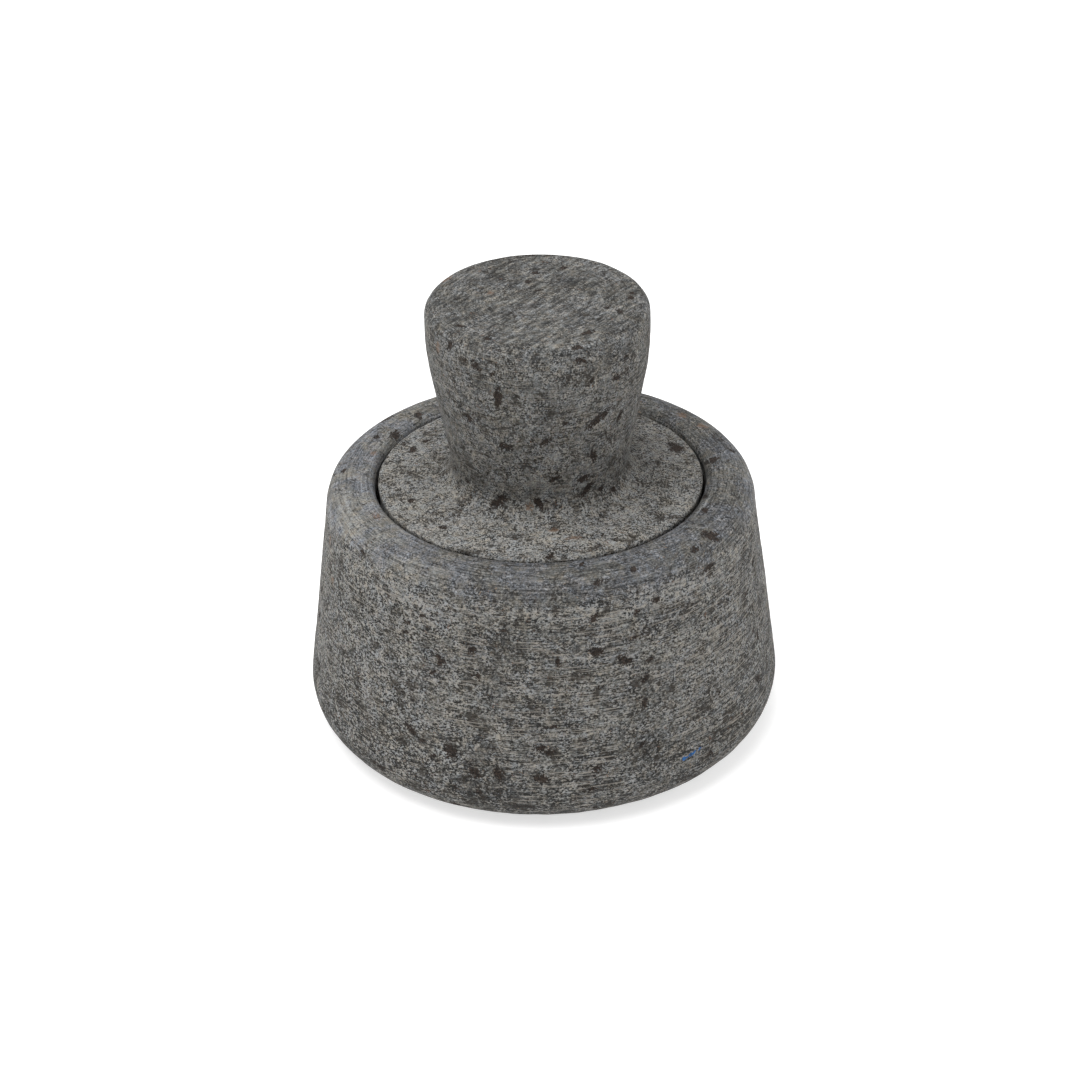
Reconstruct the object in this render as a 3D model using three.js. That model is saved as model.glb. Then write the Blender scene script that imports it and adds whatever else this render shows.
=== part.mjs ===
// A turned stone mortar with its pestle stored in the mouth.
//
// Both pieces are lathe-turned from one kind of dense grey volcanic stone. The mortar is a heavy,
// slightly tapered block with a rounded foot and rim and a dished bowl. The pestle is one stone
// too: a flared grip on a wide disc that closes the mouth, with a domed grinding face below.
//
// Units are millimetres, +Z is up, and the origin is the centre of the mortar's flat foot.

import * as THREE from 'three';

// ---------------------------------------------------------------- driving dimensions

const MORTAR_HEIGHT = 85.5;
const WALL_RADIUS_AT_FOOT = 77.0; // where the wall's line would reach the foot's plane
const WALL_RADIUS_AT_RIM = 66.8; // where it would reach the rim's plane
const FOOT_ROUNDING = 15.7;
const RIM_ROUNDING = 8.4;

const MOUTH_RADIUS = 52.0;
const MOUTH_ROUNDING = 3.0;
const BOWL_DEPTH = 48.0;
const BOWL_FLOOR_RADIUS = 95.0; // of the sphere that the floor is part of
const BOWL_CORNER_ROUNDING = 18.0; // between the floor and the bowl's wall

const PESTLE_TOP = 146.8; // height of the grip's flat top above the foot
const GRIP_RADIUS = 34.7;
const GRIP_EDGE_ROUNDING = 4.5;
const GRIP_TAPER_HEIGHT = 131.0; // where the taper's line meets the straight top of the grip
const GRIP_SWELL_ROUNDING = 91.0; // eases the taper into the straight top
const NECK_RADIUS = 26.7;
const NECK_HEIGHT = 86.7; // where the taper's line meets the disc's line
const NECK_FILLET = 6.0;

const DISC_RADIUS = 51.2;
const DISC_EDGE_HEIGHT = 84.6;
const DISC_EDGE_ROUNDING = 0.8;
const DOME_RADIUS = 52.0;
const DOME_RIM_RADIUS = 50.6; // where the dome meets the disc's edge
const RESTING_GAP = 0.3; // between the dome and the bowl's floor

const TURNS_AROUND = 64; // facets round each piece
const FINEST_TURN = THREE.MathUtils.degToRad(13); // largest change of direction along an arc
const QUARTER_TURN = Math.PI / 2;

const MORTAR_STONE = { color: 0x6a6a68, roughness: 0.82, metalness: 0.0 };
const PESTLE_STONE = { color: 0x6f6e6b, roughness: 0.8, metalness: 0.0 };

// ---------------------------------------------------------------- outline helpers

/** A point of an outline: x is the distance from the axis and y the height. */
function at(radius, height) {
  return new THREE.Vector2(radius, height);
}

/** Points along an arc, ends included. Angles are in radians, 0 pointing away from the axis. */
function arc(centre, radius, from, to) {
  const steps = Math.max(3, Math.ceil(Math.abs(to - from) / FINEST_TURN));
  return Array.from({ length: steps + 1 }, (_, i) => {
    const angle = THREE.MathUtils.lerp(from, to, i / steps);
    return at(centre.x + radius * Math.cos(angle), centre.y + radius * Math.sin(angle));
  });
}

/** The arc that rounds the corner between the straight lines to its two neighbours. */
function roundedCorner(before, corner, after, rounding) {
  const back = before.clone().sub(corner).normalize();
  const ahead = after.clone().sub(corner).normalize();
  const halfAngle = Math.acos(back.dot(ahead)) / 2;
  const reach = rounding / Math.tan(halfAngle);
  const start = corner.clone().addScaledVector(back, reach);
  const end = corner.clone().addScaledVector(ahead, reach);
  const bisector = back.clone().add(ahead).normalize();
  const centre = corner.clone().addScaledVector(bisector, rounding / Math.sin(halfAngle));
  const from = start.clone().sub(centre).angle();
  let to = end.clone().sub(centre).angle();
  if (to - from > Math.PI) to -= 2 * Math.PI;
  if (from - to > Math.PI) to += 2 * Math.PI;
  return arc(centre, rounding, from, to);
}

/** Straight lines through [point, rounding] corners, each turned to its rounding, if it has one. */
function outline(corners) {
  return corners.flatMap(([point, rounding], i) =>
    rounding ? roundedCorner(corners[i - 1][0], point, corners[i + 1][0], rounding) : [point],
  );
}

/** A closed solid of revolution about +Z from an outline that starts and ends on the axis. */
function turned(name, points, stone) {
  const geometry = new THREE.LatheGeometry(points, TURNS_AROUND);
  geometry.rotateX(QUARTER_TURN);
  const mesh = new THREE.Mesh(geometry, new THREE.MeshStandardMaterial(stone));
  mesh.name = name;
  return mesh;
}

// ---------------------------------------------------------------- the two pieces

/** The bowl, from the foot of its straight wall down to the middle of the floor. */
function bowlOutline() {
  const floorCentre = at(0, MORTAR_HEIGHT - BOWL_DEPTH + BOWL_FLOOR_RADIUS);
  const cornerRadius = MOUTH_RADIUS - BOWL_CORNER_ROUNDING;
  const drop = Math.sqrt((BOWL_FLOOR_RADIUS - BOWL_CORNER_ROUNDING) ** 2 - cornerRadius ** 2);
  const cornerCentre = at(cornerRadius, floorCentre.y - drop);
  const meeting = -Math.atan2(drop, cornerRadius);
  const corner = arc(cornerCentre, BOWL_CORNER_ROUNDING, 0, meeting);
  const floor = arc(floorCentre, BOWL_FLOOR_RADIUS, meeting, -QUARTER_TURN);
  return [...corner, ...floor.slice(1, -1), at(0, MORTAR_HEIGHT - BOWL_DEPTH)];
}

/** Foot, tapered wall, rounded rim and bowl. */
function mortar() {
  const bowl = bowlOutline();
  const body = outline([
    [at(0, 0)],
    [at(WALL_RADIUS_AT_FOOT, 0), FOOT_ROUNDING],
    [at(WALL_RADIUS_AT_RIM, MORTAR_HEIGHT), RIM_ROUNDING],
    [at(MOUTH_RADIUS, MORTAR_HEIGHT), MOUTH_ROUNDING],
    [bowl[0]],
  ]);
  return turned('mortar', [...body, ...bowl.slice(1)], MORTAR_STONE);
}

/** The grinding dome, from its lowest point on the axis out to the disc's edge. */
function domeOutline() {
  const lowest = at(0, MORTAR_HEIGHT - BOWL_DEPTH + RESTING_GAP);
  const centre = at(0, lowest.y + DOME_RADIUS);
  const rim = -Math.acos(DOME_RIM_RADIUS / DOME_RADIUS);
  return [lowest, ...arc(centre, DOME_RADIUS, -QUARTER_TURN, rim).slice(1)];
}

/** Domed face, wide disc that closes the mouth, filleted neck and flared grip. */
function pestle() {
  const dome = domeOutline();
  const grip = outline([
    [dome.at(-1)],
    [at(DISC_RADIUS, DISC_EDGE_HEIGHT), DISC_EDGE_ROUNDING],
    [at(NECK_RADIUS, NECK_HEIGHT), NECK_FILLET],
    [at(GRIP_RADIUS, GRIP_TAPER_HEIGHT), GRIP_SWELL_ROUNDING],
    [at(GRIP_RADIUS, PESTLE_TOP), GRIP_EDGE_ROUNDING],
    [at(0, PESTLE_TOP)],
  ]);
  return turned('pestle', [...dome, ...grip.slice(1)], PESTLE_STONE);
}

const set = new THREE.Group();
set.add(mortar(), pestle());

export default set;
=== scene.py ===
"""A turned stone mortar with its pestle standing in the mouth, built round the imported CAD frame.

The scene is in metres, +Z is up, and the origin is the centre of the mortar's foot, as in the
frame. The stones' own dimensions, relief and material are in millimetres. Both stones are surfaces
of revolution with real relief, and share one procedural stone material.
"""

import math
from collections import namedtuple

import bpy
import numpy as np
from mathutils import Matrix, Vector


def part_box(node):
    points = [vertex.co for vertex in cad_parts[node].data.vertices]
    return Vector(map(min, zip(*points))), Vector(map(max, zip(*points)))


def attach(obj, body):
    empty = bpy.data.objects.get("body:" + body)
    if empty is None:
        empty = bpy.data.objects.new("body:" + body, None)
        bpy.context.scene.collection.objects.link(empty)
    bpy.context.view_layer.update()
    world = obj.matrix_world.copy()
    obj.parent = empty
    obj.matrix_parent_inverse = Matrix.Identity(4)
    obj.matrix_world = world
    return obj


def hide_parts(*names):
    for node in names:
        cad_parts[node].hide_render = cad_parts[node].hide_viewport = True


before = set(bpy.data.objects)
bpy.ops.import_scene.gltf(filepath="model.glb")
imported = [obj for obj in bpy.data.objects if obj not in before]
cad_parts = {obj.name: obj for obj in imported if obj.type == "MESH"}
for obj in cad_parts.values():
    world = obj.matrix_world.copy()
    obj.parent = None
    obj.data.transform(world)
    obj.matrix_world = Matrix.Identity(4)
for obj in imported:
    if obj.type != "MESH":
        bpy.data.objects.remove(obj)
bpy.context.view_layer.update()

MM = 0.001
TAU = 2 * math.pi

# ---------------------------------------------------------------- driving dimensions, in millimetres

_, (_, _, mortar_top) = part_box("mortar")
(_, _, pestle_bottom), (_, _, pestle_top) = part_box("pestle")
RIM_HEIGHT = mortar_top / MM
DOME_LOWEST = pestle_bottom / MM
GRIP_TOP = pestle_top / MM

WALL_RADIUS_AT_FOOT = 77.0
WALL_RADIUS_AT_RIM = 66.8
FOOT_ROUNDING = 15.7
RIM_ROUNDING = 8.4
MOUTH_RADIUS = 52.0
MOUTH_ROUNDING = 3.0
BOWL_DEPTH = 48.0
BOWL_FLOOR_RADIUS = 95.0
BOWL_CORNER_ROUNDING = 18.0

GRIP_RADIUS = 34.7
GRIP_EDGE_ROUNDING = 4.5
GRIP_TAPER_HEIGHT = 131.0
GRIP_SWELL_ROUNDING = 91.0
NECK_RADIUS = 26.7
NECK_HEIGHT = 86.7
NECK_FILLET = 6.0
DISC_RADIUS = 51.2
DISC_EDGE_HEIGHT = 84.6
DISC_EDGE_ROUNDING = 0.8
DOME_RADIUS = 52.0
DOME_RIM_RADIUS = 50.6

# Spacing of the outline's points on the dome and the bowl's floor, and on the bowl's corner.
GRINDING_FACE_STEP = 1.8
BOWL_CORNER_STEP = 1.3
SEGMENTS_AROUND = 432

# Nearer to the axis than this, a place counts as this far from it.
LEAST_RADIUS = 1.0

# ---------------------------------------------------------------- camera

CAMERA_ELEVATION = math.radians(31.0)
CAMERA_DISTANCE = 1.0677
CAMERA_ROLL = math.radians(-1.07)
CAMERA_AIM = Vector((-0.00046, 0.0, 0.0611))
FOCAL_LENGTH_MM = 111.76
SENSOR_MM = 36.0


def add_camera():
    """The photographing camera: azimuth 0, looking down 31 degrees, rolled by about a degree."""
    data = bpy.data.cameras.new("camera")
    data.lens = FOCAL_LENGTH_MM
    data.sensor_width = SENSOR_MM
    camera = bpy.data.objects.new("camera", data)
    bpy.context.scene.collection.objects.link(camera)
    forward = Vector((0, math.cos(CAMERA_ELEVATION), -math.sin(CAMERA_ELEVATION)))
    level_right = Vector((1, 0, 0))
    level_up = level_right.cross(forward)
    right = math.cos(CAMERA_ROLL) * level_right + math.sin(CAMERA_ROLL) * level_up
    up = math.cos(CAMERA_ROLL) * level_up - math.sin(CAMERA_ROLL) * level_right
    turn = Matrix((right, up, -forward)).transposed()
    camera.matrix_world = Matrix.Translation(CAMERA_AIM - forward * CAMERA_DISTANCE) @ turn.to_4x4()
    bpy.context.scene.camera = camera


# ---------------------------------------------------------------- outlines

def line(start, end, step):
    """Points every step or so along a straight stretch, without its last point."""
    start, end = np.array(start, float), np.array(end, float)
    count = max(1, round(np.linalg.norm(end - start) / step))
    return start + (end - start) * np.linspace(0, 1, count, endpoint=False)[:, None]


def arc(centre, radius, start, end, step):
    """Points every step or so along an arc, without its last point. 0 points away from the axis."""
    count = max(2, round(abs(end - start) * radius / step))
    angle = np.linspace(start, end, count, endpoint=False)
    return np.array(centre) + radius * np.stack([np.cos(angle), np.sin(angle)], axis=1)


def rounding_arc(before, corner, after, rounding):
    """Centre, start angle, end angle, start and end points of the arc that rounds a corner."""
    before, corner, after = (np.array(p, float) for p in (before, corner, after))
    back = (before - corner) / np.linalg.norm(before - corner)
    ahead = (after - corner) / np.linalg.norm(after - corner)
    half = math.acos(np.clip(back @ ahead, -1, 1)) / 2
    reach = rounding / math.tan(half)
    bisector = (back + ahead) / np.linalg.norm(back + ahead)
    centre = corner + bisector * rounding / math.sin(half)
    first, last = corner + back * reach, corner + ahead * reach
    start = math.atan2(*(first - centre)[::-1])
    end = math.atan2(*(last - centre)[::-1])
    end -= TAU * round((end - start) / TAU)
    return centre, start, end, first, last


def outline(corners):
    """Points through corners of (point, rounding, step of the line that follows, step of the arc)."""
    stretches = []
    reached = reached_step = None
    for i, (point, rounding, line_step, arc_step) in enumerate(corners):
        if rounding:
            centre, start, end, first, last = rounding_arc(
                corners[i - 1][0], point, corners[i + 1][0], rounding
            )
        else:
            first = last = np.array(point, float)
        if reached is not None:
            stretches.append(line(reached, first, reached_step))
        if rounding:
            stretches.append(arc(centre, rounding, start, end, arc_step))
        reached, reached_step = last, line_step
    return np.vstack(stretches)


def mortar_outline():
    """Foot, wall, rim and bowl, from the middle of the foot to the middle of the bowl's floor."""
    floor_centre = np.array([0, RIM_HEIGHT - BOWL_DEPTH + BOWL_FLOOR_RADIUS])
    corner_radius = MOUTH_RADIUS - BOWL_CORNER_ROUNDING
    drop = math.sqrt((BOWL_FLOOR_RADIUS - BOWL_CORNER_ROUNDING) ** 2 - corner_radius**2)
    corner_centre = (corner_radius, floor_centre[1] - drop)
    meeting = -math.atan2(drop, corner_radius)
    body = outline([
        ((0, 0), 0, 4.0, 0),
        ((WALL_RADIUS_AT_FOOT, 0), FOOT_ROUNDING, 0.8, 0.8),
        ((WALL_RADIUS_AT_RIM, RIM_HEIGHT), RIM_ROUNDING, 0.6, 0.6),
        ((MOUTH_RADIUS, RIM_HEIGHT), MOUTH_ROUNDING, 1.2, 0.4),
        ((MOUTH_RADIUS, corner_centre[1]), 0, 0, 0),
    ])
    corner = arc(corner_centre, BOWL_CORNER_ROUNDING, 0, meeting, BOWL_CORNER_STEP)
    floor = arc(floor_centre, BOWL_FLOOR_RADIUS, meeting, -TAU / 4, GRINDING_FACE_STEP)
    return np.vstack([body, corner, floor, [[0, RIM_HEIGHT - BOWL_DEPTH]]])


def pestle_outline():
    """Dome, disc, neck and grip, from the dome's lowest point to the middle of the grip's top."""
    dome_centre = (0, DOME_LOWEST + DOME_RADIUS)
    dome_rim = -math.acos(DOME_RIM_RADIUS / DOME_RADIUS)
    dome = arc(dome_centre, DOME_RADIUS, -TAU / 4, dome_rim, GRINDING_FACE_STEP)
    rim_point = (DOME_RIM_RADIUS, dome_centre[1] + DOME_RADIUS * math.sin(dome_rim))
    grip = outline([
        (rim_point, 0, 0.8, 0),
        ((DISC_RADIUS, DISC_EDGE_HEIGHT), DISC_EDGE_ROUNDING, 0.7, 0.25),
        ((NECK_RADIUS, NECK_HEIGHT), NECK_FILLET, 0.7, 0.6),
        ((GRIP_RADIUS, GRIP_TAPER_HEIGHT), GRIP_SWELL_ROUNDING, 0.7, 0.7),
        ((GRIP_RADIUS, GRIP_TOP), GRIP_EDGE_ROUNDING, 0.8, 0.45),
        ((0, GRIP_TOP), 0, 0, 0),
    ])
    return np.vstack([dome, grip, [[0, GRIP_TOP]]])


# ---------------------------------------------------------------- relief

LOW_32_BITS = 0xFFFFFFFF

# Large odd factors that spread a point and a seed over 32 bits, and then scramble those bits.
SPREADING_FACTORS = (374761393, 668265263, 2246822519, 3266489917)
SCRAMBLING_STEPS = ((13, 1274126177), (16, 2654435761))
LAST_SHIFT = 15

# Moves every point of the stones to positive lattice coordinates.
LATTICE_SHIFT = 64.0


def lattice(x, y, z, seed):
    """A repeatable value from -1 to 1 for each whole-number point."""
    spread = sum(factor * part for factor, part in zip(SPREADING_FACTORS, (x, y, z, seed)))
    bits = (spread & LOW_32_BITS).astype(np.uint64)
    for shift, factor in SCRAMBLING_STEPS:
        bits = ((bits ^ (bits >> np.uint64(shift))) * np.uint64(factor)) & np.uint64(LOW_32_BITS)
    return (bits ^ (bits >> np.uint64(LAST_SHIFT))).astype(np.float64) / LOW_32_BITS * 2 - 1


def noise(points, size, seed):
    """Smooth noise from -1 to 1, with features about size across."""
    scaled = np.asarray(points, float) / size + LATTICE_SHIFT
    base = np.floor(scaled).astype(np.int64)
    t = scaled - base
    t = t * t * t * (t * (t * 6 - 15) + 10)
    total = 0
    for dx in (0, 1):
        for dy in (0, 1):
            for dz in (0, 1):
                weight = (
                    (t[:, 0] if dx else 1 - t[:, 0])
                    * (t[:, 1] if dy else 1 - t[:, 1])
                    * (t[:, 2] if dz else 1 - t[:, 2])
                )
                corner = (base[:, 0] + dx, base[:, 1] + dy, base[:, 2] + dz)
                total = total + weight * lattice(*corner, seed)
    return total


def smoothstep(low, high, value):
    t = np.clip((value - low) / (high - low), 0, 1)
    return t * t * (3 - 2 * t)


# Tool rings swing to and fro by this part of their size, over this length.
RING_SWING = 0.6
RING_SWING_SIZE = 40.0

# A hollow's edge starts and ends at these parts of the way out to its outline, give or take its
# raggedness, which is noise of this size. It is cut off at this many times its longer side.
HOLLOW_EDGE_START = 0.5
HOLLOW_EDGE_END = 1.2
RAGGEDNESS = 0.45
RAGGED_SIZE = 1.7
PRESSED_SEED = 5
HOLLOW_REACH = 1.1

# Scattered pits: over 1, the bias makes more of them short. Widths and depths are parts of the
# length and of the full depth, and tilts spread by an angle in radians.
SHORT_BIAS = 1.8
PIT_WIDTHS = (0.35, 0.8)
PIT_TILT_SPREAD = 0.6
SHALLOWEST_PIT = 0.4


class Turning:
    """The grid of a surface of revolution: a row for each outline point, a column for each angle."""

    def __init__(self, points):
        self.points = points
        self.inner = points[1:-1]
        step = np.linalg.norm(np.diff(points, axis=0), axis=1)
        self.along = np.cumsum(step)[:-1]
        tangent = points[2:] - points[:-2]
        tangent /= np.linalg.norm(tangent, axis=1)[:, None]
        self.normal = np.stack([tangent[:, 1], -tangent[:, 0]], axis=1)
        self.angle = np.arange(SEGMENTS_AROUND) * TAU / SEGMENTS_AROUND
        self.around = np.stack([np.cos(self.angle), np.sin(self.angle)], axis=1)
        self.offset = np.zeros((len(self.inner), SEGMENTS_AROUND))
        self.marks = {"pit": np.zeros_like(self.offset), "rust": np.zeros_like(self.offset)}
        self.place = self.positions(0).reshape(-1, 3)

    def positions(self, offset):
        """Grid positions with each point moved along its normal by offset."""
        radius = self.inner[:, 0, None] + self.normal[:, 0, None] * offset
        height = self.inner[:, 1, None] + self.normal[:, 1, None] * offset
        radius = np.broadcast_to(radius, self.offset.shape)
        height = np.broadcast_to(height, self.offset.shape)
        return np.stack([radius * self.around[:, 0], radius * self.around[:, 1], height], axis=2)

    def noise(self, size, seed):
        return noise(self.place, size, seed).reshape(self.offset.shape)

    def add_rings(self, height, size, seed):
        """Tool rings: waves that change along the outline and hardly at all round the piece."""
        swing = RING_SWING * self.noise(RING_SWING_SIZE, seed + 1)
        rows = np.broadcast_to(self.along[:, None], self.offset.shape) / size + swing
        flat = np.stack([rows.ravel(), np.zeros(rows.size), np.zeros(rows.size)], axis=1)
        self.offset += height * noise(flat, 1.0, seed).reshape(self.offset.shape)

    def sink(self, kind, row, angle, length, width, tilt, depth, ragged):
        """Presses a ragged hollow into the grid, and marks it as a pit or as rust."""
        along = self.along[row]
        radius = max(self.inner[row, 0], LEAST_RADIUS)
        reach = HOLLOW_REACH * max(length, width)
        rows = np.nonzero(np.abs(self.along - along) < reach)[0]
        turn = (self.angle - angle + math.pi) % TAU - math.pi
        columns = np.nonzero(np.abs(turn) * radius < reach)[0]
        if not len(rows) or not len(columns):
            return
        grid = np.ix_(rows, columns)
        across = turn[columns][None, :] * radius
        up = (self.along[rows] - along)[:, None]
        lengthwise = across * math.cos(tilt) + up * math.sin(tilt)
        widthwise = up * math.cos(tilt) - across * math.sin(tilt)
        spread = np.sqrt((lengthwise / (length / 2)) ** 2 + (widthwise / (width / 2)) ** 2)
        edge = smoothstep(HOLLOW_EDGE_START, HOLLOW_EDGE_END, spread + RAGGEDNESS * ragged[grid])
        self.offset[grid] -= depth * (1 - edge)
        mark = self.marks[kind]
        mark[grid] = np.maximum(mark[grid], np.clip(1 - spread / 2, 0, 1))

    def press(self, kind, inclusions, depth):
        """Sinks the listed inclusions, each at the outline point nearest its radius and height."""
        ragged = self.noise(RAGGED_SIZE, PRESSED_SEED)
        for angle, radius, height, length, width, tilt in inclusions:
            self.sink(
                kind=kind,
                row=np.argmin(np.hypot(self.inner[:, 0] - radius, self.inner[:, 1] - height)),
                angle=math.radians(angle),
                length=length,
                width=width,
                tilt=math.radians(tilt),
                depth=depth,
                ragged=ragged,
            )

    def scatter(self, seed, count, rows, length, depth):
        """Pits of log-spread length at random over the rows that a mask allows."""
        random = np.random.default_rng(seed)
        ragged = self.noise(RAGGED_SIZE, seed + 7)
        area = self.inner[:, 0] * np.gradient(self.along) * rows
        chosen = random.choice(len(area), size=count, p=area / area.sum())
        for row in chosen:
            long = length[0] * (length[1] / length[0]) ** (random.random() ** SHORT_BIAS)
            self.sink(
                kind="pit",
                row=row,
                angle=random.random() * TAU,
                length=long,
                width=long * random.uniform(*PIT_WIDTHS),
                tilt=random.normal(0.0, PIT_TILT_SPREAD),
                depth=depth * (SHALLOWEST_PIT + (1 - SHALLOWEST_PIT) * random.random()),
                ragged=ragged,
            )

    def build(self, name):
        """The object: one vertex at each pole, and smooth quads between the rows."""
        rows, columns = self.offset.shape
        middle = self.positions(self.offset).reshape(-1, 3)
        poles = [[0, 0, self.points[0, 1]], [0, 0, self.points[-1, 1]]]
        vertices = np.vstack([middle, poles]) * MM
        first, last = rows * columns, rows * columns + 1
        grid = np.arange(rows * columns).reshape(rows, columns)
        beside = np.roll(grid, -1, axis=1)
        quads = np.stack([grid[:-1], beside[:-1], beside[1:], grid[1:]], axis=2).reshape(-1, 4)
        first_cap = np.stack([np.full(columns, first), beside[0], grid[0]], axis=1)
        last_cap = np.stack([np.full(columns, last), grid[-1], beside[-1]], axis=1)
        mesh = bpy.data.meshes.new(name)
        mesh.from_pydata(vertices.tolist(), [], quads.tolist() + first_cap.tolist() + last_cap.tolist())
        mesh.polygons.foreach_set("use_smooth", [True] * len(mesh.polygons))
        for kind, mark in self.marks.items():
            values = np.append(mark.ravel(), [0.0, 0.0]).astype(np.float32)
            mesh.attributes.new(kind, "FLOAT", "POINT").data.foreach_set("value", values)
        mesh.update()
        piece = bpy.data.objects.new(name, mesh)
        bpy.context.scene.collection.objects.link(piece)
        return piece


# Radii near enough to the mortar's wall and to the grip's side to fall on them at any height.
WALL = WALL_RADIUS_AT_RIM + 4
GRIP = NECK_RADIUS + 4

# Inclusions that stand out: angle round the axis in degrees, radius, height, length, width, and tilt
# in degrees. An angle of -90 faces the camera, and a tilt of 0 lies level along the surface.
MORTAR_PITS = [
    (-108, WALL, 62, 3.2, 2.2, 80),
    (-107, WALL, 54, 2.4, 1.6, 0),
    (-77, WALL, 74, 3.0, 2.0, 60),
    (-77, WALL, 62, 4.2, 2.2, -10),
    (-70, WALL, 58, 3.4, 2.4, -30),
    (-63, WALL, 56, 2.6, 2.2, 0),
    (-65, WALL, 41, 3.2, 1.8, 80),
    (-113, WALL, 27, 5.0, 3.6, -70),
    (-107, WALL, 21, 4.4, 2.6, -50),
    (-101, WALL, 21, 4.6, 2.4, -60),
    (-124, WALL, 30, 4.6, 1.8, -40),
    (-91, WALL, 31, 4.0, 1.8, 10),
    (-60, WALL, 75, 2.6, 1.8, 0),
    (-21, WALL, 40, 5.0, 1.2, 80),
    (-166, WALL, 26, 3.2, 2.6, 80),
    (-64, 64, RIM_HEIGHT, 2.2, 1.4, 0),
    (-36, 65, RIM_HEIGHT, 4.8, 3.0, -40),
    (-44, 66, RIM_HEIGHT, 2.6, 1.8, 0),
    (-26, 56, RIM_HEIGHT, 2.8, 1.8, 20),
]
MORTAR_RUST = [
    (38, 59, RIM_HEIGHT, 3.2, 2.2, 0),
    (29, 60, RIM_HEIGHT, 3.8, 2.0, 30),
    (-154, 56, RIM_HEIGHT, 3.4, 1.8, 0),
    (164, 55, RIM_HEIGHT, 2.6, 1.8, 20),
    (-165, WALL, 74, 3.0, 2.2, 60),
    (-160, WALL, 62, 2.4, 1.6, 70),
]
PESTLE_PITS = [
    (-111, GRIP, 130, 6.5, 2.2, 85),
    (-131, GRIP, 120, 3.6, 2.2, -40),
    (-57, GRIP, 120, 7.5, 2.4, 35),
    (-40, GRIP, 118, 4.0, 1.8, 60),
    (-87, GRIP, 115, 3.4, 2.0, 50),
    (-57, GRIP, 106, 4.2, 2.0, -75),
    (-60, GRIP, 93, 5.0, 2.2, 40),
    (-62, GRIP, 98, 3.4, 2.2, 20),
    (-81, GRIP, 100, 3.6, 1.4, 20),
    (-117, GRIP, 91, 5.5, 2.8, 50),
    (-68, GRIP_RADIUS, 142, 3.2, 1.8, -20),
    (-140, GRIP_RADIUS, 143, 3.0, 2.0, 70),
    (157, 44, DISC_EDGE_HEIGHT, 3.4, 2.2, 30),
    (148, 43, DISC_EDGE_HEIGHT, 3.0, 1.8, -20),
    (20, 46, DISC_EDGE_HEIGHT, 5.5, 3.6, 0),
    (-87, 49, DISC_EDGE_HEIGHT, 2.6, 1.6, 40),
    (-19, 26, GRIP_TOP, 2.6, 1.4, 30),
    (0, 29, GRIP_TOP, 2.2, 1.4, 0),
    (-145, 29, GRIP_TOP, 2.4, 1.2, 20),
    (93, 31, GRIP_TOP, 3.2, 1.6, 0),
]
PESTLE_RUST = [
    (150, 32, GRIP_TOP, 3.8, 2.0, 0),
    (160, 15, GRIP_TOP, 2.4, 1.6, 40),
    (-97, 29, 90, 2.4, 1.8, 0),
    (-76, 41, DISC_EDGE_HEIGHT, 4.4, 1.4, 0),
    (-84, 36, DISC_EDGE_HEIGHT, 2.6, 1.2, 0),
    (-150, GRIP_RADIUS, 140, 3.0, 1.8, 80),
]


# Waves and tool rings in each surface: height, size across and seed. The fourth value of the
# mortar's waves is how much of the height the finely finished rim goes without.
MORTAR_WAVES = [
    (0.22, 34.0, 11, 0.0),
    (0.10, 8.0, 12, 0.05),
    (0.07, 3.2, 13, 0.05),
]
MORTAR_RINGS = (0.05, 1.9, 14)
PESTLE_WAVES = [
    (0.12, 26.0, 31),
    (0.07, 7.0, 32),
    (0.05, 3.0, 33),
]
PESTLE_RINGS = (0.03, 1.7, 34)
MORTAR_PIT_DEPTH = 0.4
PESTLE_PIT_DEPTH = 0.35
RUST_DEPTH = 0.1

# Below this height the foot is flat, so that the mortar stands on it.
FLAT_FOOT_HEIGHT = 0.5

# The waves die down between these heights.
FINE_RIM = (RIM_HEIGHT - 14, RIM_HEIGHT - 5)


def make_mortar():
    stone = Turning(mortar_outline())
    radius, height = stone.inner.T
    on_foot = height < FLAT_FOOT_HEIGHT
    fine_rim = smoothstep(*FINE_RIM, height)[:, None]
    for wave_height, size, seed, less_on_rim in MORTAR_WAVES:
        stone.offset += (wave_height - less_on_rim * fine_rim) * stone.noise(size, seed)
    stone.add_rings(*MORTAR_RINGS)
    outside = (radius > MOUTH_RADIUS + 1) & ~on_foot
    stone.press("pit", MORTAR_PITS, depth=MORTAR_PIT_DEPTH)
    stone.press("rust", MORTAR_RUST, depth=RUST_DEPTH)
    stone.scatter(seed=21, count=110, rows=outside, length=(2.0, 5.0), depth=MORTAR_PIT_DEPTH)
    stone.offset[on_foot] = 0
    return stone.build("mortar_stone")


def make_pestle():
    stone = Turning(pestle_outline())
    for wave_height, size, seed in PESTLE_WAVES:
        stone.offset += wave_height * stone.noise(size, seed)
    stone.add_rings(*PESTLE_RINGS)
    in_sight = stone.inner[:, 1] > DISC_EDGE_HEIGHT - 4
    stone.press("pit", PESTLE_PITS, depth=PESTLE_PIT_DEPTH)
    stone.press("rust", PESTLE_RUST, depth=RUST_DEPTH)
    stone.scatter(seed=41, count=40, rows=in_sight, length=(1.8, 4.0), depth=PESTLE_PIT_DEPTH)
    return stone.build("pestle_stone")


# ---------------------------------------------------------------- materials

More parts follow.
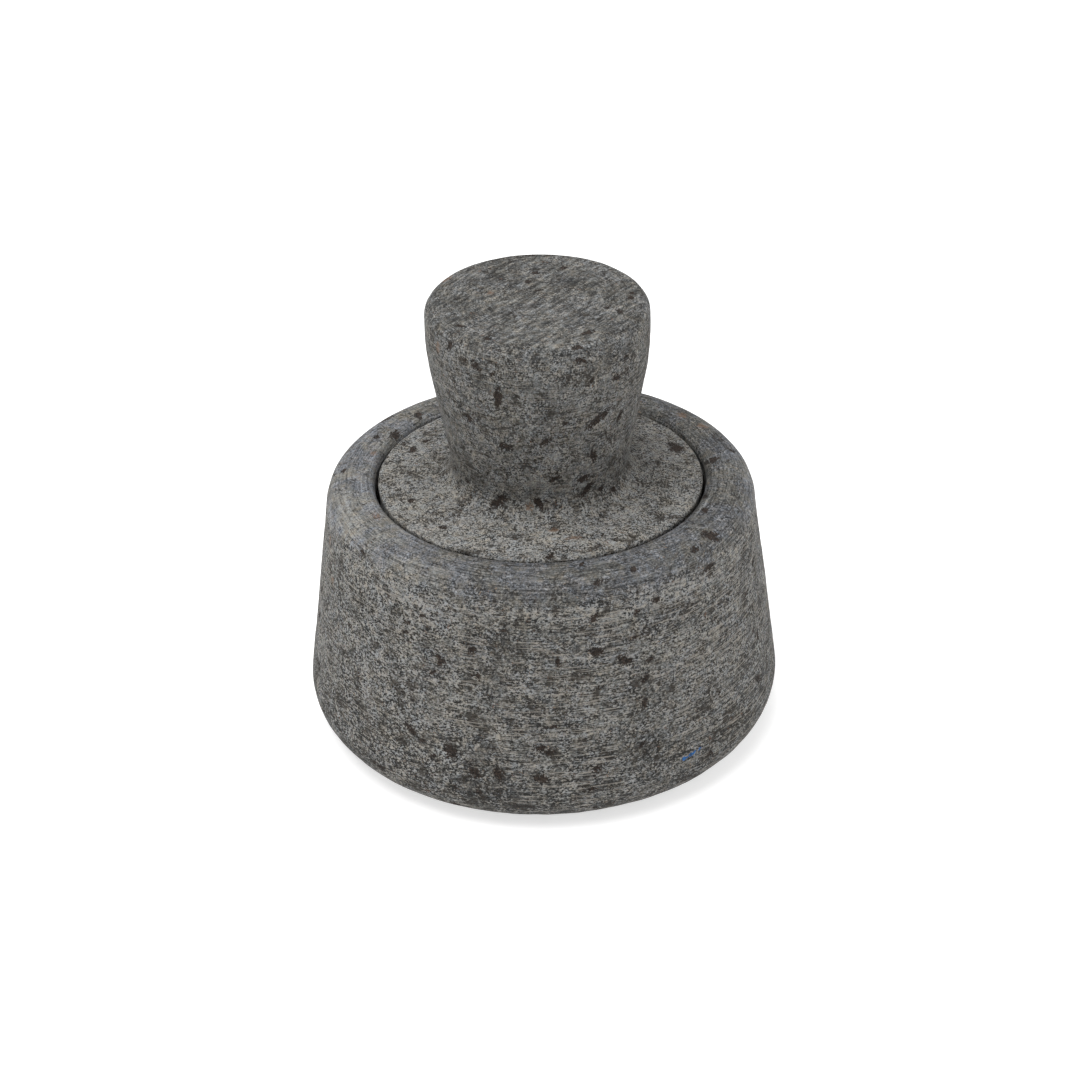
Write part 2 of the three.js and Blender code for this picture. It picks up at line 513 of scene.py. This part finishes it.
class Shader:
    """Builds one node material. Apart from node, each method returns an output socket."""

    def __init__(self, name):
        self.material = bpy.data.materials.new(name)
        self.material.use_nodes = True
        self.tree = self.material.node_tree
        self.surface = self.tree.nodes["Principled BSDF"]

    def node(self, kind, inputs=(), **settings):
        """Adds a node. Each input is a socket to link from, a value, or None to leave it alone."""
        node = self.tree.nodes.new(kind)
        for key, value in settings.items():
            setattr(node, key, value)
        for key, value in dict(inputs).items():
            if isinstance(value, bpy.types.NodeSocket):
                self.tree.links.new(value, node.inputs[key])
            elif value is not None:
                node.inputs[key].default_value = value
        return node

    def math(self, operation, a, b=None):
        return self.node("ShaderNodeMath", {0: a, 1: b}, operation=operation).outputs[0]

    def add(self, a, b):
        return self.math("ADD", a, b)

    def times(self, a, b):
        return self.math("MULTIPLY", a, b)

    def length(self, a, b):
        """The length of the flat vector (a, b)."""
        return self.math("SQRT", self.add(self.times(a, a), self.times(b, b)))

    def centred(self, value, gain):
        """A 0 to 1 value as a swing about 0."""
        return self.times(self.math("SUBTRACT", value, 0.5), gain)

    def step(self, value, low, high, to_low=0.0, to_high=1.0):
        """A smooth step from to_low where value is low to to_high where it is high."""
        inputs = {"Value": value, "From Min": low, "From Max": high, "To Min": to_low, "To Max": to_high}
        return self.node("ShaderNodeMapRange", inputs, interpolation_type="SMOOTHSTEP").outputs[0]

    def noise(self, vector, size, detail=2.0, rough=0.5, w=None, warp=0.0):
        """Noise from 0 to 1 with features about size across, where w is a fourth coordinate."""
        inputs = {
            "Vector": vector,
            "W": w,
            "Scale": 1 / size,
            "Detail": detail,
            "Roughness": rough,
            "Distortion": warp,
        }
        dimensions = "3D" if w is None else "4D"
        return self.node("ShaderNodeTexNoise", inputs, noise_dimensions=dimensions).outputs["Fac"]

    def cells(self, vector, size, w=None):
        """A random value from 0 to 1 for each cell, about size across."""
        inputs = {"Vector": vector, "W": w, "Scale": 1 / size}
        dimensions = "3D" if w is None else "4D"
        node = self.node("ShaderNodeTexVoronoi", inputs, voronoi_dimensions=dimensions)
        return self.node("ShaderNodeSeparateColor", {0: node.outputs["Color"]}).outputs[0]

    def mix(self, factor, a, b, mode="MIX"):
        node = self.node("ShaderNodeMix", {"Factor": factor}, data_type="RGBA", blend_type=mode)
        for socket, value in ((node.inputs[6], a), (node.inputs[7], b)):
            if isinstance(value, bpy.types.NodeSocket):
                self.tree.links.new(value, socket)
            else:
                socket.default_value = (*value, 1.0)
        return node.outputs[2]

    def ramp(self, value, stops):
        node = self.node("ShaderNodeValToRGB", {"Fac": value})
        elements = node.color_ramp.elements
        while len(elements) < len(stops):
            elements.new(0.5)
        for element, (place, colour) in zip(elements, stops):
            element.position = place
            element.color = (*colour, 1.0)
        return node.outputs["Color"]


# Sizes across of the stone's patches.
CLOUD_SIZE = 30.0
SCRAPED_PATCH_SIZE = 22.0
SLATE_PATCH_SIZE = 9.0
SCRATCHED_PATCH_SIZE = 6.0
BUSY_PATCH_SIZE = 4.5
TINT_SIZE = 2.4

# Sizes across of its grains, and of the ragged edges of its stains and pits.
CLUMP_SIZE = 8.0
GRAIN_SIZE = 2.2
FINE_GRAIN_SIZE = 0.55
CRYSTAL_SIZE = 0.52
FLECK_CLUSTER_SIZE = 6.0
FLECK_SIZE = 1.5
RUST_SIZE = 1.7
OCHRE_SIZE = 1.2
SPECK_SIZE = 0.9
STAIN_EDGE_SIZE = 1.0
PIT_EDGE_SIZE = 1.2

# Tool marks round the piece: their spacing, and the radius of the ring round which their noise is
# taken. The smaller the ring, the longer the marks.
SCRAPES = (0.42, 4.0)
RINGS = (0.5, 1.8)
SCRATCHES = (0.32, 2.2)

# The stone's grey for each tone from 0 to 1. All colours are linear.
GREYS = ((0.0, 0.012), (0.25, 0.042), (0.5, 0.098), (0.75, 0.172), (1.0, 0.26))
GREY_HUE = (1.02, 1.0, 0.93)

# Tints that the colour is multiplied by.
WARM_TINT = (1.06, 0.99, 0.9)
COOL_TINT = (0.95, 1.0, 1.06)
SLATE_TINT = (0.92, 0.965, 1.1)

# Colours of what lies in the grey.
FLECK_COLOUR = (0.02, 0.016, 0.012)
PALE_SCRATCH_COLOUR = (0.26, 0.24, 0.21)
DARK_SCRATCH_COLOUR = (0.028, 0.025, 0.022)
# Pale crystals: partly pale grains, partly painted glints.
PALE_GRAIN_AND_GLINT_COLOUR = (0.3, 0.28, 0.25)
DARK_CRYSTAL_COLOUR = (0.014, 0.012, 0.01)
RUST_COLOUR = (0.12, 0.062, 0.038)
RUST_STAIN_COLOUR = (0.15, 0.09, 0.056)
OCHRE_COLOUR = (0.26, 0.185, 0.12)
SPECK_COLOUR = (0.012, 0.01, 0.008)
# Painted shade inside the pits, where their hollows would be dark.
PIT_PAINTED_SHADE_COLOUR = (0.008, 0.006, 0.005)
PIT_CRUST_COLOUR = (0.032, 0.021, 0.015)
STREAK_BLUE = (0.012, 0.1, 0.3)

SPECULAR_LEVEL = 0.22
COARSE_ROUGHNESS = 0.8
FINE_ROUGHNESS = 0.62
BUMP_STRENGTH = 0.9
BUMP_HEIGHT = 0.5 * MM  # in the scene's metres

# What a finish says of each place: how finely it is finished and how blue its patches are, from
# 0 to 1, the contrast of its grain, and how much paler it is than the rest.
Finish = namedtuple("Finish", "fineness slate contrast tone")


class Stone(Shader):
    """Dense volcanic stone: light and dark grains, some light ones painted glints, ragged dark flecks,
    tool marks, rust, and pits filled with painted shade and crust.

    finish gives the Finish of a stone's places. scraping is how strongly the tool marks show, and
    stretch is the radius from which the grain is drawn out round the piece.
    """

    def __init__(self, name, finish, scraping, stretch=None):
        super().__init__(name)
        coords = self.node("ShaderNodeTexCoord").outputs["Object"]
        scaled = self.node("ShaderNodeVectorMath", {0: coords, "Scale": 1 / MM}, operation="SCALE")
        self.place = scaled.outputs[0]
        self.x, self.y, self.height = self.node("ShaderNodeSeparateXYZ", {0: self.place}).outputs
        self.radius = self.length(self.x, self.y)
        self.scraping = scraping
        self.finish = finish(self)
        self.coarse = self.math("SUBTRACT", 1.0, self.finish.fineness)

        # A grain that is drawn out round the piece takes the radius as a fourth coordinate.
        self.body, self.w = (self.turned(stretch), self.radius) if stretch else (self.place, None)
        self.clump = self.noise(self.body, CLUMP_SIZE, detail=3.0, rough=0.8, w=self.w)
        self.grain = self.noise(self.body, GRAIN_SIZE, detail=4.0, rough=0.88, w=self.w, warp=0.3)
        self.fine = self.noise(self.body, FINE_GRAIN_SIZE, detail=2.0, rough=0.9, w=self.w)
        self.crystal = self.cells(self.body, CRYSTAL_SIZE, w=self.w)
        self.scraped = self.step(self.noise(self.place, SCRAPED_PATCH_SIZE, detail=1.0), 0.32, 0.52)
        self.scrapes = self.tool_marks(*SCRAPES)
        patch = self.noise(self.place, BUSY_PATCH_SIZE, detail=3.0, rough=0.7)
        calm = self.step(self.finish.fineness, 0.0, 1.0, 1.0, 0.5)
        self.busy = self.times(self.step(patch, 0.36, 0.62, 0.45, 1.4), calm)

        stops = [(tone, [grey * part for part in GREY_HUE]) for tone, grey in GREYS]
        colour = self.tinted(self.ramp(self.tone(), stops))
        colour, fleck = self.flecked(colour)
        colour = self.rusted(self.crystalline(self.scratched(colour)))
        self.colour, hollow = self.pitted(colour)
        self.set_surface(hollow, fleck)

    def turned(self, reach):
        """Coordinates that run slowly round the piece, as on a ring of radius reach."""
        radius = self.math("MAXIMUM", self.radius, LEAST_RADIUS)
        return self.node("ShaderNodeCombineXYZ", {
            0: self.times(self.math("DIVIDE", self.x, radius), reach),
            1: self.times(self.math("DIVIDE", self.y, radius), reach),
            2: self.height,
        }).outputs[0]

    def tool_marks(self, spacing, ring, detail=2.0):
        """Noise drawn out round the piece."""
        return self.noise(self.turned(ring), spacing, detail=detail, rough=0.8, w=self.radius)

    def tone(self):
        """The tone, about 0.5: fine and large grain, clouds, scrapes, rings and the zone's own, which on
        the mortar also holds painted shade and painted light.
        """
        finish = self.finish
        small = self.add(self.centred(self.fine, 4.3), self.centred(self.crystal, 0.4))
        small = self.times(small, self.times(self.busy, finish.contrast))
        large = self.add(self.centred(self.grain, 1.4), self.centred(self.clump, 0.9))
        half_contrast = self.add(0.5, self.times(finish.contrast, 0.5))
        large = self.times(large, self.times(self.step(self.busy, 0.3, 1.4, 0.6, 1.2), half_contrast))
        cloud = self.centred(self.noise(self.place, CLOUD_SIZE, detail=1.0), 0.3)
        worked = self.step(self.scraped, 0.0, 1.0, 0.25, 1.0)
        worked = self.times(worked, self.step(self.coarse, 0.0, 1.0, 0.4, 1.0))
        scrapes = self.times(self.centred(self.scrapes, 2.3 * self.scraping), worked)
        rings = self.times(self.centred(self.tool_marks(*RINGS), 1.1), finish.fineness)
        tone = 0.5
        for part in (small, large, cloud, scrapes, rings, finish.tone):
            tone = self.add(tone, part)
        return tone

    def tinted(self, colour):
        """Warmer and cooler in places, with bluish patches where the finish has them."""
        tint = self.noise(self.place, TINT_SIZE, detail=3.0, rough=0.8)
        colour = self.mix(self.step(tint, 0.5, 0.64), colour, WARM_TINT, mode="MULTIPLY")
        colour = self.mix(self.step(tint, 0.5, 0.38), colour, COOL_TINT, mode="MULTIPLY")
        patch = self.step(self.noise(self.place, SLATE_PATCH_SIZE, detail=3.0, rough=0.6), 0.4, 0.58)
        return self.mix(self.times(patch, self.finish.slate), colour, SLATE_TINT, mode="MULTIPLY")

    def flecked(self, colour):
        """Ragged dark flecks in clusters, scarce on a fine finish. Gives the colour and the flecks."""
        cluster = self.centred(self.noise(self.place, FLECK_CLUSTER_SIZE, detail=2.0), 0.6)
        scarce = self.times(self.finish.fineness, -0.07)
        field = self.noise(self.body, FLECK_SIZE, detail=4.0, rough=0.75, w=self.w, warp=0.8)
        fleck = self.step(self.add(field, self.add(cluster, scarce)), 0.58, 0.6)
        return self.mix(self.times(fleck, 0.8), colour, FLECK_COLOUR), fleck

    def scratched(self, colour):
        """Fine pale and dark scratches round the piece, in patches of the coarse zones."""
        scratches = self.tool_marks(*SCRATCHES, detail=0.0)
        where = self.times(self.times(self.scraped, self.coarse), self.scraping)
        patch = self.step(self.noise(self.place, SCRATCHED_PATCH_SIZE), 0.4, 0.52)
        where = self.times(patch, where)
        pale = self.times(self.step(scratches, 0.62, 0.68), where)
        colour = self.mix(self.times(pale, 0.75), colour, PALE_SCRATCH_COLOUR)
        dark = self.times(self.step(scratches, 0.34, 0.28), where)
        return self.mix(self.times(dark, 0.7), colour, DARK_SCRATCH_COLOUR)

    def crystalline(self, colour):
        """A few of the crystals are pale or dark, mostly where the grain is busy. The pale ones are
        partly pale grains and partly painted glints.
        """
        pale = self.times(self.step(self.crystal, 0.9, 0.93), self.step(self.busy, 0.5, 1.2, 0.1, 0.4))
        colour = self.mix(pale, colour, PALE_GRAIN_AND_GLINT_COLOUR)
        dark = self.times(self.step(self.crystal, 0.1, 0.07), self.step(self.busy, 0.5, 1.2, 0.1, 0.5))
        return self.mix(dark, colour, DARK_CRYSTAL_COLOUR)

    def rusted(self, colour):
        """Scattered rust and ochre grains, and stains where the mesh is marked as rust."""
        rust = self.noise(self.place, RUST_SIZE, detail=3.0, rough=0.7, warp=0.8)
        colour = self.mix(self.times(self.step(rust, 0.66, 0.7), 0.6), colour, RUST_COLOUR)
        ochre = self.noise(self.place, OCHRE_SIZE, detail=2.0, rough=0.8, warp=0.6)
        colour = self.mix(self.times(self.step(ochre, 0.32, 0.28), 0.55), colour, OCHRE_COLOUR)
        marked = self.node("ShaderNodeAttribute", attribute_name="rust").outputs["Fac"]
        ragged = self.noise(self.place, STAIN_EDGE_SIZE, detail=3.0, rough=0.8, warp=1.0)
        stain = self.step(self.add(marked, self.centred(ragged, 4.0)), 0.44, 0.5)
        stain = self.times(stain, self.step(marked, 0.15, 0.35))
        return self.mix(self.times(stain, 0.6), colour, RUST_STAIN_COLOUR)

    def pitted(self, colour):
        """Black specks, and pits where the mesh is marked, filled with painted shade and patches of
        crust. Gives the colour and the pits.
        """
        often = self.times(self.finish.contrast, 0.035)
        speck = self.add(self.noise(self.place, SPECK_SIZE, detail=2.0, rough=0.8, warp=0.8), often)
        colour = self.mix(self.times(self.step(speck, 0.68, 0.72), 0.85), colour, SPECK_COLOUR)
        marked = self.node("ShaderNodeAttribute", attribute_name="pit").outputs["Fac"]
        ragged = self.noise(self.place, PIT_EDGE_SIZE, detail=4.0, rough=0.75, warp=1.0)
        hollow = self.step(self.add(marked, self.centred(ragged, 3.2)), 0.4, 0.43)
        hollow = self.times(hollow, self.step(marked, 0.18, 0.3))
        # The pits are filled with painted shade, with patches of crust.
        shade_and_crust = self.mix(self.step(self.fine, 0.42, 0.58), PIT_PAINTED_SHADE_COLOUR, PIT_CRUST_COLOUR)
        return self.mix(self.times(hollow, 0.95), colour, shade_and_crust), hollow

    def set_surface(self, hollow, fleck):
        """Gloss, roughness and fine relief: pits and flecks lie lower than the grain."""
        polish = self.times(self.finish.fineness, FINE_ROUGHNESS - COARSE_ROUGHNESS)
        rough = self.add(polish, self.add(COARSE_ROUGHNESS, self.centred(self.grain, 0.3)))
        relief = self.add(self.times(self.grain, 0.8), self.times(self.scrapes, 0.35))
        relief = self.add(self.times(self.fine, 0.5), relief)
        relief = self.add(relief, self.add(self.times(hollow, -0.6), self.times(fleck, -0.7)))
        inputs = {"Strength": BUMP_STRENGTH, "Distance": BUMP_HEIGHT, "Height": relief}
        bump = self.node("ShaderNodeBump", inputs)
        self.surface.inputs["Specular IOR Level"].default_value = SPECULAR_LEVEL
        self.tree.links.new(rough, self.surface.inputs["Roughness"])
        self.tree.links.new(bump.outputs[0], self.surface.inputs["Normal"])

    def done(self):
        """The material, with the colour reached so far."""
        self.tree.links.new(self.colour, self.surface.inputs["Base Color"])
        return self.material


# ---------------------------------------------------------------- the two finishes

# The rim's fine finish starts at the first of these heights and is full at the second, up or down
# by a wander of this size across.
RIM_FINISH = (RIM_HEIGHT - 10, RIM_HEIGHT - 2)
RIM_WANDER = 8.0
RIM_WANDER_SIZE = 12.0

# Each of these grows from the first place to the second: along X to the left, along Y to the front
# and down to the foot.
LEFT_WALL = (-15, -50)
# The painted light on the rim grows from the first place to the second, towards the left.
LEFT_RIM_LIGHT = (-25, -55)
FRONT = (-10, -50)
# The painted shade near the foot grows from the first height down to the second.
FOOT_SHADE = (46, 6)

# A paler, scored band runs round the front of the wall, with a darker, smoother one below it. Each
# is full between the middle two heights and gone at the outer two.
SCORED_BAND = (70, 74, 76, 80)
SMOOTH_BAND = (58, 62, 67, 70)
SCORED_PATCH_SIZE = 9.0
SCORED_GRAIN_SIZE = 1.2

RIM_TONE = -0.07
# Painted light: how much paler the rim is painted on its left, where the light falls.
LEFT_RIM_LIGHT_TONE = 0.2
SMOOTH_BAND_TONE = -0.06
# Painted shade: how much darker the wall is painted at the foot.
FOOT_SHADE_TONE = -0.2


def band(stone, lowest, low, high, highest):
    """1 from low to high, falling to 0 at lowest and highest."""
    return stone.times(stone.step(stone.height, lowest, low), stone.step(stone.height, highest, high))


def mortar_finish(stone):
    """Finely finished on the rim and coarse on the wall, with the strongest grain on its left, painted
    light on the rim's left and painted shade towards the foot.
    """
    wander = stone.centred(stone.noise(stone.place, RIM_WANDER_SIZE, detail=2.0), RIM_WANDER)
    fineness = stone.step(stone.add(stone.height, wander), *RIM_FINISH)
    slate = stone.step(fineness, 0.0, 1.0, 0.3, 1.0)
    coarse = stone.math("SUBTRACT", 1.0, fineness)
    contrast = stone.add(1.0, stone.times(stone.step(stone.x, *LEFT_WALL), coarse))

    front = stone.step(stone.y, *FRONT)
    patch = stone.step(stone.noise(stone.place, SCORED_PATCH_SIZE, detail=2.0), 0.35, 0.5, 0.3, 1.0)
    grain = stone.noise(stone.place, SCORED_GRAIN_SIZE, detail=3.0, rough=0.8)
    pale = stone.times(patch, stone.step(grain, 0.42, 0.6, 0.05, 0.5))
    scored = stone.times(stone.times(band(stone, *SCORED_BAND), front), pale)
    smooth = stone.times(band(stone, *SMOOTH_BAND), stone.times(front, SMOOTH_BAND_TONE))
    # Painted shade, darker down towards the foot, where the floor meets it.
    foot = stone.step(stone.height, *FOOT_SHADE, 0.0, FOOT_SHADE_TONE)
    # Painted light: the rim is paler towards its left, on the side the light comes from.
    left_rim_light = stone.step(stone.x, *LEFT_RIM_LIGHT, 0.0, LEFT_RIM_LIGHT_TONE)
    rim = stone.times(fineness, stone.add(RIM_TONE, left_rim_light))
    tone = stone.add(stone.add(rim, scored), stone.add(smooth, foot))
    return Finish(fineness, slate, contrast, tone)


# The blue streak, from its left end. Its angle is in degrees round the axis from +X.
STREAK_ANGLE = -55.0
STREAK_HEIGHT = 18.0
STREAK_LENGTH = 7.5
STREAK_SLOPE = 0.15
STREAK_HALF_WIDTH = 0.5
STREAK_WAVER = 2.0
STREAK_WAVER_SIZE = 1.6
STREAK_BREAK_SIZE = 0.9
STREAK_DOT_RADIUS = 0.85
STREAK_OPACITY = 0.85


def add_blue_streak(stone):
    """A short, broken streak of blue crayon low on the wall, with a dot at its left end."""
    turn = math.radians(STREAK_ANGLE)
    reach = WALL_RADIUS_AT_FOOT - 2
    start = (reach * math.cos(turn), reach * math.sin(turn), STREAK_HEIGHT)
    inputs = {"Vector": stone.place, "Location": start, "Rotation": (0, 0, turn)}
    local = stone.node("ShaderNodeMapping", inputs, vector_type="TEXTURE").outputs[0]
    outward, along, up = stone.node("ShaderNodeSeparateXYZ", {0: local}).outputs
    waver = stone.centred(stone.noise(stone.place, STREAK_WAVER_SIZE, detail=2.0), STREAK_WAVER)
    off_line = stone.add(up, stone.add(stone.times(along, -STREAK_SLOPE), waver))
    off_line = stone.math("ABSOLUTE", off_line)
    line = stone.step(off_line, STREAK_HALF_WIDTH, STREAK_HALF_WIDTH / 2)
    left_end = stone.step(along, 0.4, 0.9)
    right_end = stone.step(along, STREAK_LENGTH, STREAK_LENGTH - 1.5)
    unbroken = stone.step(stone.noise(stone.place, STREAK_BREAK_SIZE, detail=2.0), 0.44, 0.5)
    line = stone.times(stone.times(line, stone.times(left_end, right_end)), unbroken)
    dot = stone.step(stone.length(along, up), STREAK_DOT_RADIUS, STREAK_DOT_RADIUS - 0.25)
    on_this_side = stone.step(outward, -8, -6)
    streak = stone.times(stone.math("MAXIMUM", dot, line), on_this_side)
    stone.colour = stone.mix(stone.times(streak, STREAK_OPACITY), stone.colour, STREAK_BLUE)


# The fine finish of the grip's top, and the paler disc and dome below the neck.
TOP_FINISH = (GRIP_TOP - 5, GRIP_TOP - 1)
TOP_WANDER = 5.0
TOP_WANDER_SIZE = 9.0
DISC = (NECK_HEIGHT + 4, NECK_HEIGHT)

# Veins across the grip's top, drawn out at an angle in degrees from +X.
VEIN_ANGLE = 50.0
VEIN_SIZE = 1.5
VEIN_STRETCH = 4.0

TOP_TONE = -0.12
DISC_TONE = 0.18
PESTLE_TONE = 0.02


def pestle_finish(stone):
    """Finely finished and veined on the grip's top, coarse below it, palest on the disc and dome."""
    wander = stone.centred(stone.noise(stone.place, TOP_WANDER_SIZE, detail=2.0), TOP_WANDER)
    fineness = stone.step(stone.add(stone.height, wander), *TOP_FINISH)
    slate = stone.step(fineness, 0.0, 1.0, 0.25, 0.35)
    disc = stone.step(stone.height, *DISC)
    contrast = stone.add(stone.add(0.62, stone.times(disc, 0.75)), stone.times(fineness, 0.35))

    turn = (0, 0, math.radians(VEIN_ANGLE))
    inputs = {"Vector": stone.place, "Rotation": turn, "Scale": (VEIN_STRETCH, 1, 1)}
    laid = stone.node("ShaderNodeMapping", inputs, vector_type="TEXTURE").outputs[0]
    veins = stone.centred(stone.noise(laid, VEIN_SIZE, detail=3.0, rough=0.7), 1.7)
    veins = stone.times(veins, fineness)
    zones = stone.add(stone.times(disc, DISC_TONE), stone.times(fineness, TOP_TONE))
    return Finish(fineness, slate, contrast, stone.add(zones, stone.add(veins, PESTLE_TONE)))


# ---------------------------------------------------------------- stage

FLOOR_SIZE = 6.0
FLOOR_COLOUR = (0.6, 0.6, 0.6, 1.0)
FLOOR_GLOW = 0.6
FLOOR_ROUGHNESS = 0.9
FLOOR_SPECULAR_LEVEL = 0.2

WHITE = (1.0, 1.0, 1.0, 1.0)

# The surround shows as full white, and lights the stone with this part of it.
SURROUND_GLOW = 0.55

# Softboxes, all aimed at the middle of the set: name, place, width and height, and watts.
SOFTBOX_AIM = Vector((0, 0, 0.07))
SOFTBOXES = [
    ("top_softbox", (-0.38, -0.3, 1.88), (1.4, 1.4), 41),
    ("left_softbox", (-1.5, 0.0, 0.7), (1.2, 1.0), 2.5),
    ("right_softbox", (1.5, 0.0, 0.6), (1.2, 1.0), 6),
]


def add_floor():
    """A matt floor that glows a little, so that it shows as white as the surround."""
    half = FLOOR_SIZE / 2
    corners = [(-half, -half, 0), (half, -half, 0), (half, half, 0), (-half, half, 0)]
    mesh = bpy.data.meshes.new("floor")
    mesh.from_pydata(corners, [], [(0, 1, 2, 3)])
    floor = bpy.data.objects.new("floor", mesh)
    bpy.context.scene.collection.objects.link(floor)
    material = bpy.data.materials.new("floor")
    material.use_nodes = True
    surface = material.node_tree.nodes["Principled BSDF"]
    surface.inputs["Base Color"].default_value = FLOOR_COLOUR
    surface.inputs["Emission Color"].default_value = WHITE
    surface.inputs["Emission Strength"].default_value = FLOOR_GLOW
    surface.inputs["Roughness"].default_value = FLOOR_ROUGHNESS
    surface.inputs["Specular IOR Level"].default_value = FLOOR_SPECULAR_LEVEL
    mesh.materials.append(material)


def add_softbox(name, place, size, power):
    data = bpy.data.lights.new(name, "AREA")
    data.shape = "RECTANGLE"
    data.size, data.size_y = size
    data.energy = power
    light = bpy.data.objects.new(name, data)
    light.location = place
    light.rotation_euler = (SOFTBOX_AIM - Vector(place)).to_track_quat("-Z", "Y").to_euler()
    bpy.context.scene.collection.objects.link(light)


def add_surround():
    """A surround that is white to the camera and dimmer to the stone."""
    world = bpy.data.worlds.new("studio")
    bpy.context.scene.world = world
    world.use_nodes = True
    tree = world.node_tree
    background = tree.nodes["Background"]
    background.inputs["Color"].default_value = WHITE
    strength = tree.nodes.new("ShaderNodeMapRange")
    strength.inputs["To Min"].default_value = SURROUND_GLOW
    strength.inputs["To Max"].default_value = 1.0
    seen = tree.nodes.new("ShaderNodeLightPath").outputs["Is Camera Ray"]
    tree.links.new(seen, strength.inputs["Value"])
    tree.links.new(strength.outputs[0], background.inputs["Strength"])


# ---------------------------------------------------------------- assembly

add_camera()
add_floor()
add_surround()
for softbox in SOFTBOXES:
    add_softbox(*softbox)
bpy.context.scene.view_settings.view_transform = "Standard"

mortar_stone = Stone("mortar_stone", mortar_finish, scraping=1.0, stretch=MOUTH_RADIUS)
add_blue_streak(mortar_stone)
mortar = make_mortar()
mortar.data.materials.append(mortar_stone.done())
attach(mortar, "mortar")
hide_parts("mortar")

pestle_stone = Stone("pestle_stone", pestle_finish, scraping=0.55)
pestle = make_pestle()
pestle.data.materials.append(pestle_stone.done())
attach(pestle, "pestle")
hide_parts("pestle")
